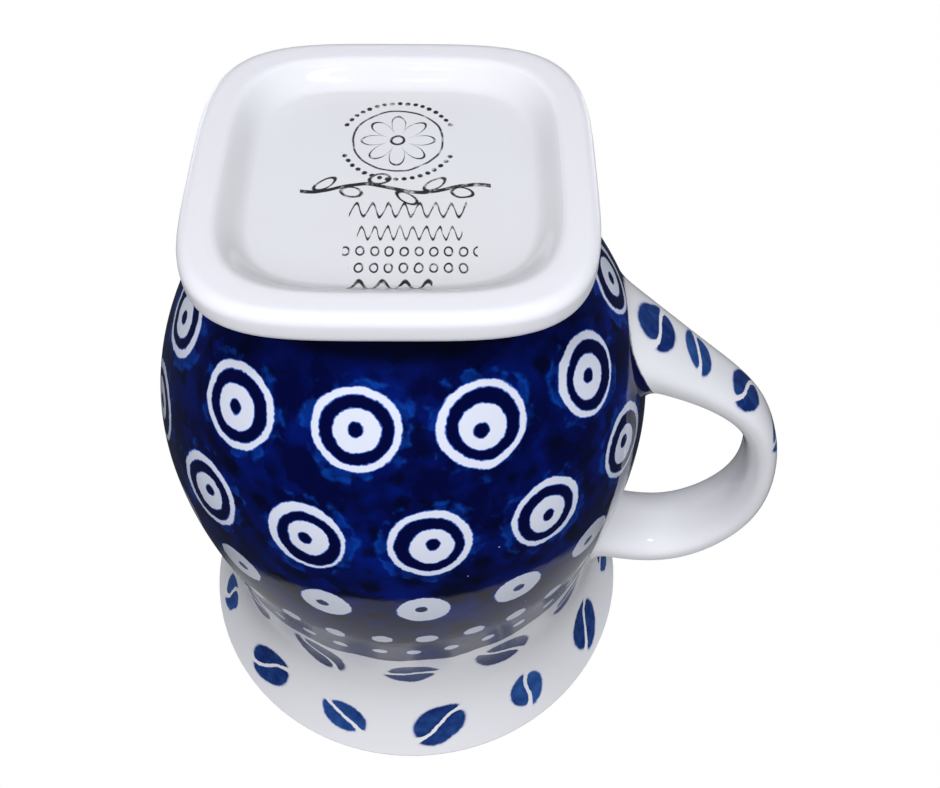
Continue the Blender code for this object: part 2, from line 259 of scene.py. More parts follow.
def make_collar():
    """Flared collar: outer face from seam to lip, half-round lip, inside down to the seam."""
    outer = outline_between(COLLAR_SEAM_Z, HEIGHT - LIP_ROUNDING)
    turn = np.linspace(0.0, math.pi, 15)[1:-1]
    lip = np.stack([
        LIP_RADIUS - LIP_ROUNDING + LIP_ROUNDING * np.cos(turn),
        HEIGHT - LIP_ROUNDING + LIP_ROUNDING * np.sin(turn),
    ], axis=1)
    inner = inner_face()
    inner = inner[inner[:, 1] > COLLAR_SEAM_Z + 1.0]
    inner_end = np.array([[outer_radius(COLLAR_SEAM_Z) - WALL, COLLAR_SEAM_Z]])
    profile = np.vstack([outer, lip, inner, inner_end])
    arcs = profile_arcs(profile, arc_at(COLLAR_SEAM_Z))
    return mesh_piece("collar_glazed", turned_rings(profile), arcs, joined=True)


def superellipse(half_side, exponent):
    angle = np.linspace(0.0, 2.0 * math.pi, ROUND_STEPS, endpoint=False)
    c, s = np.cos(angle), np.sin(angle)
    radius = half_side / (np.abs(c) ** exponent + np.abs(s) ** exponent) ** (1.0 / exponent)
    return np.stack([radius * c, radius * s], axis=1)


def foot_stations():
    """(half side, exponent, height) of each ring of the foot, from its recess up to the waist."""
    ring_inner = FOOT_HALF - FOOT_RING_WIDTH
    floor_edge = ring_inner - RECESS_SLOPE_WIDTH
    # The rings on the recess floor are rounder towards the middle.
    stations = [(half, 2.6 + half / 14.0, RECESS_DEPTH) for half in (0.5, 4.0, 8.0, 12.0, 16.0)]
    for t in np.linspace(0.0, 1.0, 17):
        stations.append((floor_edge + t * RECESS_SLOPE_WIDTH, FOOT_SQUARENESS,
                         RECESS_DEPTH * (1.0 - t * t * (3.0 - 2.0 * t))))
    for half in np.linspace(ring_inner, FOOT_HALF - FOOT_EDGE_RADIUS, 5)[1:]:
        stations.append((half, FOOT_SQUARENESS, 0.0))
    for angle in np.linspace(0.0, math.pi / 2.0, 9)[1:]:
        stations.append((FOOT_HALF - FOOT_EDGE_RADIUS * (1.0 - math.sin(angle)), FOOT_SQUARENESS,
                         FOOT_EDGE_RADIUS * (1.0 - math.cos(angle))))
    for angle in np.linspace(0.0, math.pi / 2.0, 9):
        stations.append((FOOT_HALF - FOOT_EDGE_RADIUS * (1.0 - math.cos(angle)), FOOT_SQUARENESS,
                         FOOT_THICKNESS - FOOT_EDGE_RADIUS * (1.0 - math.sin(angle))))
    for t in np.linspace(0.0, 1.0, 9)[1:]:
        edge = FOOT_HALF - FOOT_EDGE_RADIUS
        half = edge + t * (WAIST_RADIUS + FOOT_FILLET - edge)
        stations.append((half, FOOT_SQUARENESS + t * (2.0 - FOOT_SQUARENESS), FOOT_THICKNESS))
    for angle in np.linspace(0.0, math.pi / 2.0, 7)[1:]:
        stations.append((WAIST_RADIUS + FOOT_FILLET * (1.0 - math.sin(angle)), 2.0,
                         FOOT_THICKNESS + (WAIST_Z - FOOT_THICKNESS) * (1.0 - math.cos(angle))))
    stations.append((CORE_RADIUS, 2.0, WAIST_Z))
    return stations


def make_foot():
    stations = foot_stations()
    rings = []
    for half, exponent, height in stations:
        outline = superellipse(half, exponent)
        rings.append(np.column_stack([outline, np.full(len(outline), height)]))
    halves = np.array([[half] for half, _, _ in stations])
    return mesh_piece("foot_glazed", np.array(rings), halves)


# ---- handle
def unit(vectors):
    return vectors / np.linalg.norm(vectors, axis=1, keepdims=True)


def natural_spline(knots, values, places):
    """Natural cubic spline through values at knots, read at places."""
    count = len(knots)
    step = np.diff(knots)
    system = np.eye(count)
    right = np.zeros_like(values)
    slope = np.diff(values, axis=0) / step[:, None]
    for i in range(1, count - 1):
        system[i, i - 1:i + 2] = (step[i - 1], 2.0 * (step[i - 1] + step[i]), step[i])
        right[i] = 6.0 * (slope[i] - slope[i - 1])
    bend = np.linalg.solve(system, right)
    index = np.clip(np.searchsorted(knots, places) - 1, 0, count - 2)
    h = step[index][:, None]
    a = (knots[index + 1] - places)[:, None] / h
    b = 1.0 - a
    return (a * values[index] + b * values[index + 1]
            + ((a ** 3 - a) * bend[index] + (b ** 3 - b) * bend[index + 1]) * h * h / 6.0)


def strap_grid():
    """Strap surface as (station, point, xyz), with each station's distance along the path."""
    path = np.array(HANDLE_PATH)
    knots = np.concatenate([[0.0], np.cumsum(np.hypot(*np.diff(path[:, :2], axis=0).T))])
    places = np.linspace(-STRAP_OVERRUN, knots[-1] + STRAP_OVERRUN, STRAP_SAMPLES)
    stations = natural_spline(knots, path, np.clip(places, 0.0, knots[-1]))
    inside = np.linspace(0.0, knots[-1], STRAP_SAMPLES)
    along = np.gradient(natural_spline(knots, path[:, :2], inside), axis=0)
    ends = unit(along[[0, -1]])
    stations[:, :2] += np.minimum(places, 0.0)[:, None] * ends[0]
    stations[:, :2] += np.maximum(places - knots[-1], 0.0)[:, None] * ends[1]
    tangent = unit(np.gradient(stations[:, :2], axis=0))
    normal = np.stack([tangent[:, 1], -tangent[:, 0]], axis=1)

    # The section's points start in the middle of the strap's inner face.
    turn = np.linspace(0.0, 2.0 * math.pi, STRAP_ROUND_STEPS, endpoint=False) - math.pi / 2.0
    power = 2.0 / STRAP_POWER
    across = np.sign(np.cos(turn)) * np.abs(np.cos(turn)) ** power
    through = np.sign(np.sin(turn)) * np.abs(np.sin(turn)) ** power * STRAP_RATIO
    half = stations[:, 2:3]
    x = stations[:, 0:1] + normal[:, 0:1] * through * half
    z = stations[:, 1:2] + normal[:, 1:2] * through * half
    grid = np.stack([x, across * half, z], axis=2)
    perimeter = np.hypot(np.diff(across, append=across[0]), np.diff(through, append=through[0]))
    middle = STRAP_ROUND_STEPS // 2
    distance = np.concatenate([[0.0], np.cumsum(perimeter)])[:-1]
    girth = (distance - distance[middle]) * half
    return grid, places, girth


def wall_gap(points):
    return np.hypot(points[..., 0], points[..., 1]) - outer_radius(points[..., 2])


def on_wall(points, lift=0.0):
    """The points moved straight out from the cup's axis onto its wall."""
    radius = np.hypot(points[..., 0], points[..., 1])
    scale = (outer_radius(points[..., 2]) + lift) / radius
    return points * np.stack([scale, scale, np.ones_like(scale)], axis=-1)


def wall_normal(points):
    slope = outer_radius(points[:, 2] + 0.5) - outer_radius(points[:, 2] - 0.5)
    radius = np.hypot(points[:, 0], points[:, 1])
    return unit(np.column_stack([points[:, 0] / radius, points[:, 1] / radius, -slope]))


def root_fillet(grid, reach, spread, reverse):
    """Rows of points that flare one end of the strap onto the cup's wall.

    reach is how far up the strap the flare starts and spread how far it runs along the wall, for
    each of the section's points.  Returns the rows, wall first, and each line's starting place.
    """
    lines = grid[::-1] if reverse else grid
    gap = wall_gap(lines)
    count, around = gap.shape
    hit_index = np.zeros(around, int)
    for j in range(around):
        inside = np.nonzero(gap[: count // 2, j] <= 0.0)[0]
        hit_index[j] = inside.max() if len(inside) else 0
    columns = np.arange(around)
    hit = lines[hit_index, columns]
    step = np.linalg.norm(lines[count // 4 + 1] - lines[count // 4], axis=1)
    start_index = hit_index + np.maximum(2, np.round(reach / step).astype(int))
    start = lines[start_index, columns]
    tangent = unit(start - lines[start_index + 1, columns])
    centre = hit.mean(axis=0)
    normal = wall_normal(hit)
    outward = hit - centre
    outward = unit(outward - normal * np.sum(outward * normal, axis=1, keepdims=True))
    landing = on_wall(hit + outward * spread[:, None], 0.02)
    flare = bezier(landing, landing - outward * spread[:, None] * FILLET_PULL,
                   start + tangent * reach[:, None] * FILLET_PULL, start, FILLET_STEPS)
    rows = np.concatenate([on_wall(landing, -FILLET_SINK)[None], flare])
    return rows, (count - 1 - start_index if reverse else start_index)


def make_handle():
    """Strap handle, flared at both roots so that it grows out of the wall."""
    grid, places, girth = strap_grid()
    columns = np.arange(STRAP_ROUND_STEPS)
    outer_share = 0.5 - 0.5 * np.cos(2.0 * math.pi * columns / STRAP_ROUND_STEPS)

    def flare(inner, more_outside):
        return inner + more_outside * outer_share

    low_rows, low_start = root_fillet(grid, flare(*LOW_REACH), flare(*LOW_SPREAD), False)
    top_rows, top_start = root_fillet(grid, flare(*TOP_REACH), flare(*TOP_SPREAD), True)
    body, body_along, body_girth = [], [], []
    for t in np.linspace(0.0, 1.0, STRAP_STEPS):
        exact = low_start + (top_start - low_start) * t
        row = np.round(exact).astype(int)
        base = np.minimum(np.floor(exact).astype(int), len(grid) - 2)
        part = (exact - base)[:, None]
        body.append(grid[base, columns] * (1.0 - part) + grid[base + 1, columns] * part)
        body_along.append(places[row])
        body_girth.append(girth[row, columns])

    def fillet_arcs(rows, ends, overrun):
        share = np.arange(len(rows))[:, None] / len(rows)
        return ends + overrun * (1.0 - share)

    fillet_low = fillet_arcs(low_rows, body_along[0], -STRAP_OVERRUN)
    fillet_top = fillet_arcs(top_rows, body_along[-1], STRAP_OVERRUN)[::-1]
    rings = np.concatenate([low_rows, np.array(body), top_rows[::-1]])
    arcs = np.concatenate([fillet_low, np.array(body_along), fillet_top])
    girths = np.pad(np.array(body_girth), ((len(low_rows), len(top_rows)), (0, 0)), "edge")
    outer_face = np.broadcast_to(2.0 * outer_share - 1.0, girths.shape)
    return mesh_piece("handle_glazed", rings[::-1], arcs[::-1], {
        "girth": girths[::-1], "outer_face": outer_face[::-1], "gap": wall_gap(rings)[::-1]})


# ---- shader arithmetic
def plug(tree, value, slot):
    """Wires a field or a socket into an input, or sets the input to a plain value."""
    if isinstance(value, Field):
        value = value.socket
    if isinstance(value, bpy.types.NodeSocket):
        tree.links.new(value, slot)
    else:
        slot.default_value = value


def add_node(tree, kind, **inputs):
    node = tree.nodes.new("ShaderNode" + kind)
    for name, value in inputs.items():
        plug(tree, value, node.inputs[name])
    return node


def split(tree, vector):
    return [Field(tree, output) for output in add_node(tree, "SeparateXYZ", Vector=vector).outputs]


def mix_shader(tree, share, first, second):
    node = add_node(tree, "MixShader")
    for slot, value in zip(node.inputs, (share, first, second)):
        plug(tree, value, slot)
    return node.outputs[0]


class Field:
    """One float in a material's node tree.  Arithmetic on fields adds Math nodes."""

    def __init__(self, tree, socket):
        self.tree = tree
        self.socket = socket

    def math(self, operation, *others):
        node = add_node(self.tree, "Math")
        node.operation = operation
        for slot, value in zip(node.inputs, (self, *others)):
            plug(self.tree, value, slot)
        return Field(self.tree, node.outputs[0])

    def __add__(self, other):
        return self.math("ADD", other)

    __radd__ = __add__

    def __sub__(self, other):
        return self.math("SUBTRACT", other)

    def __rsub__(self, other):
        return (self * -1.0) + other

    def __mul__(self, other):
        return self.math("MULTIPLY", other)

    __rmul__ = __mul__

    def __truediv__(self, other):
        return self.math("DIVIDE", other)

    def above(self, edge, softness):
        """0 below the edge and 1 above it, with a smooth step between."""
        node = add_node(self.tree, "MapRange", Value=self)
        node.interpolation_type = "SMOOTHSTEP"
        plug(self.tree, edge + -0.5 * softness, node.inputs["From Min"])
        plug(self.tree, edge + 0.5 * softness, node.inputs["From Max"])
        return Field(self.tree, node.outputs["Result"])

    def below(self, edge, softness):
        return 1.0 - self.above(edge, softness)


class Paint:
    """Node tree of one material, with the texture inputs that every pattern here uses."""

    def __init__(self, name):
        self.material = bpy.data.materials.new(name)
        self.material.use_nodes = True
        self.tree = self.material.node_tree
        self.shader = self.tree.nodes["Principled BSDF"]
        place = add_node(self.tree, "TexCoord").outputs["Object"]
        place = self.vector_math("SUBTRACT", place, (AXIS_X * MM, 0.0, 0.0))
        self.place = self.vector_math("MULTIPLY", place, (1.0 / MM,) * 3)
        self.x, self.y, self.z = split(self.tree, self.place)

    def vector_math(self, operation, first, second):
        node = add_node(self.tree, "VectorMath")
        node.operation = operation
        plug(self.tree, first, node.inputs[0])
        plug(self.tree, second, node.inputs[1])
        return node.outputs[0]

    def join(self, x, y, z):
        return add_node(self.tree, "CombineXYZ", X=x, Y=y, Z=z).outputs[0]

    def attribute(self, name):
        node = add_node(self.tree, "Attribute")
        node.attribute_name = name
        return Field(self.tree, node.outputs["Fac"])

    def noise(self, size, detail=2.0, roughness=0.5, shift=(0.0, 0.0, 0.0)):
        """Noise with blobs of about this size: its value, and two more from its colour."""
        place = self.vector_math("ADD", self.place, shift) if any(shift) else self.place
        node = add_node(self.tree, "TexNoise", Vector=place, Scale=1.0 / size, Detail=detail,
                        Roughness=roughness)
        _, second, third = split(self.tree, node.outputs["Color"])
        return Field(self.tree, node.outputs["Fac"]), second, third

    def cells(self, size, place):
        """Voronoi cells of this size: a random tone for each, and the distance from its middle."""
        node = add_node(self.tree, "TexVoronoi", Vector=place, Scale=1.0 / size)
        tone = split(self.tree, node.outputs["Color"])[0]
        return tone, Field(self.tree, node.outputs["Distance"])

    def random(self, *keys):
        """Three random numbers from -1 to 1 that depend only on the three keys."""
        node = add_node(self.tree, "TexWhiteNoise", Vector=self.join(*keys))
        return [part * 2.0 - 1.0 for part in split(self.tree, node.outputs["Color"])]

    def mix(self, share, first, second):
        """Colour between two others; each is a socket or a colour."""
        node = add_node(self.tree, "Mix")
        node.data_type = "RGBA"
        node.clamp_factor = True
        plug(self.tree, share, node.inputs["Factor"])
        for name, value in (("A", first), ("B", second)):
            slot = next(s for s in node.inputs if s.name == name and s.type == "RGBA")
            plug(self.tree, (*value, 1.0) if isinstance(value, tuple) else value, slot)
        return next(s for s in node.outputs if s.type == "RGBA")

    def finish(self, colour, roughness, height):
        """Wires the colour, the roughness and the bump, and hands the material over."""
        bump = add_node(self.tree, "Bump", Distance=GLAZE_RELIEF * MM, Height=height)
        for name, value in (("Base Color", colour), ("Roughness", roughness), ("IOR", GLAZE_IOR),
                            ("Normal", bump.outputs["Normal"])):
            plug(self.tree, value, self.shader.inputs[name])
        return self.material


# ---- colours
WHITE_GLAZE = (0.76, 0.76, 0.775)
WHITE_WARM = (0.73, 0.71, 0.70)
STAMP_WHITE = (0.77, 0.80, 0.89)
STAMP_BLEED = (0.045, 0.150, 0.620)
COBALT_DEEP = (0.0002, 0.0014, 0.038)
# near-black cobalt: of the sponged spots, and of the painted shade by the foot
COBALT_NIGHT_AND_SHADE = (0.0002, 0.0008, 0.012)
COBALT_MID = (0.0003, 0.0080, 0.150)
COBALT_BRIGHT = (0.002, 0.060, 0.420)
BEAN_DARK = (0.004, 0.019, 0.120)
BEAN_LIGHT = (0.030, 0.105, 0.330)
# slate of the painted shade on the inner row of beans, near the neck
BEAN_SHADE_SLATE = (0.022, 0.030, 0.085)
BEAN_BLEED = (0.180, 0.280, 0.620)
INK = (0.030, 0.030, 0.032)
WIPED_CLAY = (0.82, 0.81, 0.83)
SPECK_BROWN = (0.25, 0.16, 0.14)
GLAZE_IOR = 1.5
COBALT_ROUGHNESS, HANDLE_ROUGHNESS = 0.055, 0.07
DULLER_ABOVE_Z, DULLER_BY = 66.0, 0.14  # towards the lip
RECESS_ROUGHNESS, RING_ROUGHER_BY = 0.08, 0.32
GLAZE_RELIEF = 0.05  # height of the glaze's orange peel

# One ring of stamped motifs: where it runs, how many stamps, the angle of the one in front, how
# much closer the front ones stand, the row's waviness, and the radii of its painted circles.
Row = namedtuple("Row", "height count front crowding wave ring_outer ring_inner disc dot scatter")
NONE = -1.0  # radius of a circle that this row's stamps don't have
STAMP_ROWS = (
    Row(21.1, 11, 99.2, -0.013, 1.7, 6.20, 5.15, 3.25, 1.10, 0.35),
    Row(37.6, 13, 82.3, 0.034, 1.4, 6.20, 5.15, 3.25, 1.10, 0.35),
    Row(53.0, 17, 85.2, -0.015, 0.3, NONE, NONE, 3.95, 0.95, 0.30),
    Row(65.7, 32, 83.9, 0.0, 0.2, NONE, NONE, 1.75, NONE, 0.20),
    Row(73.0, 38, 87.2, 0.0, 0.2, NONE, NONE, 1.25, NONE, 0.20),
)
WAVES_ROUND = 3  # each row rises and dips three times
WAVE_DIP = 87.0  # angle of the dip in front

PAINTED_SHADE_TOP_Z = 12.0  # painted shade: cobalt darkened to near black below this, under the foot's overhang
BAND_EDGE_Z = 78.6  # cobalt below, white glaze above
BEAN_COUNT = 14
BEAN_CROWDING = -0.065
BEAN_LARGE = (5.5, 4.2)  # half length and half width
BEAN_SMALL = (4.3, 3.5)
OUTER_BEANS_Z, OUTER_BEAN_FRONT = 103.0, 82.4
INNER_BEANS_Z, INNER_BEAN_FRONT = 86.0, 88.5
OUTER_BEAN_TILTS = (40, -40, 33, 60, -70, 25, -40, 85, 15, -55, 35, -10, 58, 80)
INNER_BEAN_TILTS = (2, -65, 30, -20, 75, -45, 10, 60, -30, 50, -75, 20, -5, -45)
ROOT_PAINT_OVERLAP = 1.3  # cobalt that runs up the handle's lower root
SCALLOPS_ROUND = 22.0  # in the cobalt's upper edge
HANDLE_BEAN_LARGE = (4.8, 3.6)
HANDLE_BEAN_SHRINK = 0.5  # every second one is smaller by this much
HANDLE_BEAN_STEP = 11.9
HANDLE_BEAN_START = 0.4
HANDLE_BEAN_TILTS = (66, 86, 44, 80, 58, 95, 45, 66)
HANDLE_BEAN_ALONG = (1.2, -1.4, -0.6, 0.0, 0.5, -0.6, 0.4, 0.0)
HANDLE_BEAN_ACROSS = (0.0, 0.3, 1.3, 0.0, -0.5, 0.6, -0.3, 0.0)


def length(x, y):
    return (x * x + y * y).math("SQRT")


def pick(position, edges, values):
    """A field that takes each value in turn as position passes the edges."""
    result = None
    for edge, before, after in zip(edges, values, values[1:]):
        if after == before:
            continue
        step = position.math("GREATER_THAN", edge) * (after - before)
        result = step if result is None else result + step
    return values[0] if result is None else result + values[0]


def row_cells(angle, radius, count, front_turns, crowding):
    """Divides a row into its stamps: the stamp's number and the distance from its middle."""
    leaned = angle + (angle - math.pi / 2.0).math("SINE") * crowding
    turns = leaned * count / (2.0 * math.pi) - front_turns + 0.5
    cell = turns.math("FLOOR")
    across = (turns - cell - 0.5) * radius / count * (2.0 * math.pi)
    return cell.math("FLOORED_MODULO", count), across


def front_turns(count, front, crowding):
    angle = math.radians(front)
    return (angle + crowding * math.sin(angle - math.pi / 2.0)) * count / (2.0 * math.pi)


def ragged(paint):
    """Two small nudges made of noise, so that painted edges are never quite true."""
    _, slow_x, slow_y = paint.noise(4.5, 1.0)
    _, fine_x, fine_y = paint.noise(0.55, 1.0)
    _, lump_x, lump_y = paint.noise(1.3, 1.0, shift=(4.0, 6.0, 2.0))
    across = (slow_x - 0.5) * 0.75 + (lump_x - 0.5) * 0.30 + (fine_x - 0.5) * 0.30
    along = (slow_y - 0.5) * 0.75 + (lump_y - 0.5) * 0.30 + (fine_y - 0.5) * 0.30
    return across, along


def circle(across, along, shift_across, shift_along, radius, softness=0.50):
    """1 inside a circle and 0 outside it, and the distance from its middle."""
    distance = length(across + shift_across, along + shift_along)
    return distance.below(radius, softness), distance


def stamped_rows(paint, angle, radius, arc, edge_across, edge_along):
    """White paint of the stamps, the distance outside each one's rim, and the area inside it."""
    arcs = [arc_at(row.height) for row in STAMP_ROWS]
    edges = [(low + high) / 2.0 for low, high in zip(arcs, arcs[1:])]

    def of(column):
        return pick(arc, edges, [getattr(row, column) for row in STAMP_ROWS])

    cell, across = row_cells(
        angle, radius, of("count"),
        pick(arc, edges, [front_turns(row.count, row.front, row.crowding) for row in STAMP_ROWS]),
        of("crowding"),
    )
    stamp_angle = angle - across / radius
    wave = (stamp_angle * WAVES_ROUND - math.radians(WAVE_DIP) * WAVES_ROUND).math("COSINE")
    wave = wave * pick(arc, edges, [row.wave * arc_slope(row.height) for row in STAMP_ROWS])
    along = arc - pick(arc, edges, arcs) + wave
    scatter = of("scatter")
    row_key = pick(arc, edges, [float(index) for index in range(len(STAMP_ROWS))])
    place_x, place_y, grow = paint.random(cell, row_key, 1.7)
    ring_x, ring_y, disc_x = paint.random(cell, row_key, 5.3)
    dot_x, dot_y, disc_y = paint.random(cell, row_key, 9.1)
    across = across + place_x * scatter + edge_across
    along = along + place_y * scatter + edge_along

    size = grow * 0.03 + 1.0
    ring_radius = of("ring_outer") * size
    ring, distance = circle(across, along, 0.0, 0.0, ring_radius)
    hole, _ = circle(across, along, ring_x * 0.42, ring_y * 0.42, of("ring_inner") * size)
    disc, _ = circle(across, along, disc_x * 0.35, disc_y * 0.35, of("disc") * size)
    dot, _ = circle(across, along, dot_x * 0.5, dot_y * 0.5, of("dot") * size)
    white = ring * (1.0 - hole) + disc * (1.0 - dot)
    return white, distance - ring_radius, hole


def bean(along, across, half_length, half_width, bend):
    """Two painted lobes of a coffee bean with a pale S-shaped split between them."""
    reach = along / half_length
    split = (reach * (math.pi * 0.85)).math("SINE") * bend
    offset = across - split
    side = offset.math("SIGN")
    lobe_x = (along - side * 0.40) / half_length
    lobe_y = across / half_width
    inside = lobe_x * lobe_x + lobe_y * lobe_y
    gap = (offset.math("ABSOLUTE") + 0.02).math("POWER", -3.0) * 0.06
    lobes = (inside * inside + gap).below(1.0, 0.42)
    return lobes, offset / half_width, (inside + gap * 0.5).below(1.12, 0.40)


def turned_by(tilt, across, along):
    cosine = tilt.math("COSINE")
    sine = tilt.math("SINE")
    return across * cosine + along * sine, along * cosine - across * sine


def bean_rows(paint, angle, radius, arc, edge_across, edge_along):
    """Coffee beans scattered in two rows round the white collar."""
    outer_arc, inner_arc = arc_at(OUTER_BEANS_Z), arc_at(INNER_BEANS_Z)
    middle = (outer_arc + inner_arc) / 2.0
    outer_row = arc.math("GREATER_THAN", middle)
    starts = [front_turns(BEAN_COUNT, front, BEAN_CROWDING)
              for front in (INNER_BEAN_FRONT, OUTER_BEAN_FRONT)]
    cell, across = row_cells(angle, radius, BEAN_COUNT, pick(arc, [middle], starts), BEAN_CROWDING)
    along = arc - pick(arc, [middle], [inner_arc, outer_arc])
    shift_x, shift_y, shade = paint.random(cell, outer_row, 3.1)
    bend, _, _ = paint.random(cell, outer_row, 6.4)
    across = across + shift_x * 0.5 + edge_across
    along = along + shift_y * 0.7 + edge_along
    tilts = []
    for row_tilts in (INNER_BEAN_TILTS, OUTER_BEAN_TILTS):
        tilts.append(pick(cell, [i + 0.5 for i in range(BEAN_COUNT - 1)],
                          [math.radians(t) for t in row_tilts]))
    tilt = tilts[0] + (tilts[1] - tilts[0]) * outer_row
    length_way, width_way = turned_by(tilt, across, along)
    small = (cell + 1.0 + outer_row).math("FLOORED_MODULO", 2.0)
    paint_mask, offset, body = bean(
        length_way, width_way,
        small * (BEAN_SMALL[0] - BEAN_LARGE[0]) + BEAN_LARGE[0],
        small * (BEAN_SMALL[1] - BEAN_LARGE[1]) + BEAN_LARGE[1],
        small * -0.35 + 0.75 + bend * 0.35,
    )
    on_collar = arc.above(arc_at(BAND_EDGE_Z), 0.5) * arc.below(arc_at(HEIGHT - LIP_ROUNDING), 0.5)
    return paint_mask * on_collar, small, offset, shade, body * on_collar, outer_row


def bean_colour(paint, small, offset, shade):
    """Brushed cobalt: one lobe lighter than the other, with cloudy strokes."""
    cloud, _, _ = paint.noise(2.2, 2.0, shift=(11.0, 3.0, 7.0))
    lightness = small * 0.42 + (cloud - 0.5) * 1.1 + offset * 0.10 + shade * 0.10 + 0.12
    return paint.mix(lightness, BEAN_DARK, BEAN_LIGHT)


def white_ground(paint):
    """White glaze: faint clouds and a warm cast where it is thin."""
    cloud, thin, _ = paint.noise(26.0, 3.0, shift=(3.0, 9.0, 2.0))
    return paint.mix((cloud - 0.5) * 1.2 + 0.35 + (thin - 0.5) * 0.5, WHITE_GLAZE, WHITE_WARM)


def cobalt_ground(paint, outside, band, arc):
    """Sponged cobalt: overlapping dabs, brighter rims round the stamps and near-black spots, with
    painted shade darkening it by the foot.
    """
    cloud, _, _ = paint.noise(9.0, 3.0, 0.55)
    _, edge_x, edge_y = paint.noise(2.6, 2.0, shift=(5.0, 2.0, 8.0))
    shade = (cloud - 0.42) * 2.4
    for cell_size, shift, strength in ((3.4, (2.0, 5.0, 1.0), 0.55), (5.2, (8.0, 1.0, 6.0), 0.45)):
        tone, distance = sponge_dabs(paint, cell_size, shift)
        shade = shade + (tone - 0.5) * (0.75 - distance).math("MAXIMUM", 0.0) * (strength * 3.4)
    colour = paint.mix(shade + 0.10, COBALT_DEEP, COBALT_MID)
    reach = outside + (edge_x - 0.5) * 3.4
    rim = reach.below(1.7, 0.9) * outside.above(-0.5, 0.5)
    patch = (edge_y + cloud * 0.5).above(0.80, 0.16) * rim
    streak = (outside + (edge_x - 0.5) * 3.4 - 1.35).math("ABSOLUTE").below(0.28, 0.5)
    colour = paint.mix(patch * 0.34 + patch * streak * 0.30, colour, COBALT_BRIGHT)
    for cell_size, shift in ((3.9, (1.0, 9.0, 4.0)), (6.1, (6.0, 3.0, 2.0))):
        tone, distance = sponge_dabs(paint, cell_size, shift)
        spot = distance.below(0.34, 0.34) * tone.above(0.52, 0.10) * (1.0 - rim * 0.7)
        colour = paint.mix(spot * 0.85, colour, COBALT_NIGHT_AND_SHADE)
    # painted shade: near-black cobalt under the overhang of the foot, where the slab's shadow
    # falls
    shade_under_foot = arc.below(arc_at(PAINTED_SHADE_TOP_Z), 2.5)
    colour = paint.mix(shade_under_foot * 0.85, colour, COBALT_NIGHT_AND_SHADE)
    return paint.mix(band, colour, COBALT_DEEP)


def sponge_dabs(paint, cell_size, shift):
    """Cells with uneven edges: each one's random tone, and the distance from its middle."""
    _, nudge_x, nudge_y = paint.noise(cell_size * 0.6, 1.0, shift=shift)
    nudge = paint.join(nudge_x * (cell_size * 0.7), nudge_y * (cell_size * 0.7), 0.0)
    place = paint.vector_math("ADD", paint.place, shift)
    return paint.cells(cell_size, paint.vector_math("ADD", place, nudge))


def specks(paint, cell_size, radius, share, shift):
    """Sparse round specks: about one in a share of cells of this size."""
    tone, distance = paint.cells(cell_size, paint.vector_math("ADD", paint.place, shift))
    inside = distance.below(radius / cell_size, 0.5 * radius / cell_size)
    return inside * tone.math("LESS_THAN", share)


def painted_glaze():
    """Glaze of the belly and the collar: the whole painted pattern, with painted shade by the foot
    and on the inner row of beans.
    """
    paint = Paint("painted_glaze")
    angle = paint.y.math("ARCTAN2", paint.x)
    radius = length(paint.x, paint.y)
    arc = paint.attribute("arc")
    edge_across, edge_along = ragged(paint)

    white, outside, hole = stamped_rows(paint, angle, radius, arc, edge_across, edge_along)
    cobalt = cobalt_ground(paint, outside, hole, arc)
    cobalt = paint.mix(white.above(0.25, 0.50), cobalt, STAMP_BLEED)
    cobalt = paint.mix(white.above(0.60, 0.55), cobalt, STAMP_WHITE)

    beans, small, offset, shade, body, outer_row = bean_rows(
        paint, angle, radius, arc, edge_across, edge_along)
    collar = white_ground(paint)
    collar = paint.mix(body * 0.30, collar, BEAN_BLEED)
    # painted shade: the inner row of beans, close to the neck, is darkened towards slate
    bean_paint_and_shade = paint.mix((1.0 - outer_row) * 0.6, bean_colour(paint, small, offset, shade), BEAN_SHADE_SLATE)
    collar = paint.mix(beans, collar, bean_paint_and_shade)

    scallop = (angle * SCALLOPS_ROUND).math("SINE") * 0.45 + edge_along * 1.4
    band_edge = arc_at(BAND_EDGE_Z)
    on_collar = (arc + scallop).above(band_edge, 0.5)
    colour = paint.mix(on_collar, cobalt, collar)
    speck = specks(paint, 5.0, 0.14, 0.35, (1.0, 2.0, 3.0))
    colour = paint.mix(speck * 0.5 * (1.0 - on_collar), colour, STAMP_WHITE)

    peel, _, _ = paint.noise(5.0, 2.0, shift=(7.0, 7.0, 7.0))
    height = peel + white * 0.25 - beans * 0.1
    roughness = arc.above(arc_at(DULLER_ABOVE_Z), 14.0) * DULLER_BY + COBALT_ROUGHNESS
    return paint.finish(colour, roughness, height)


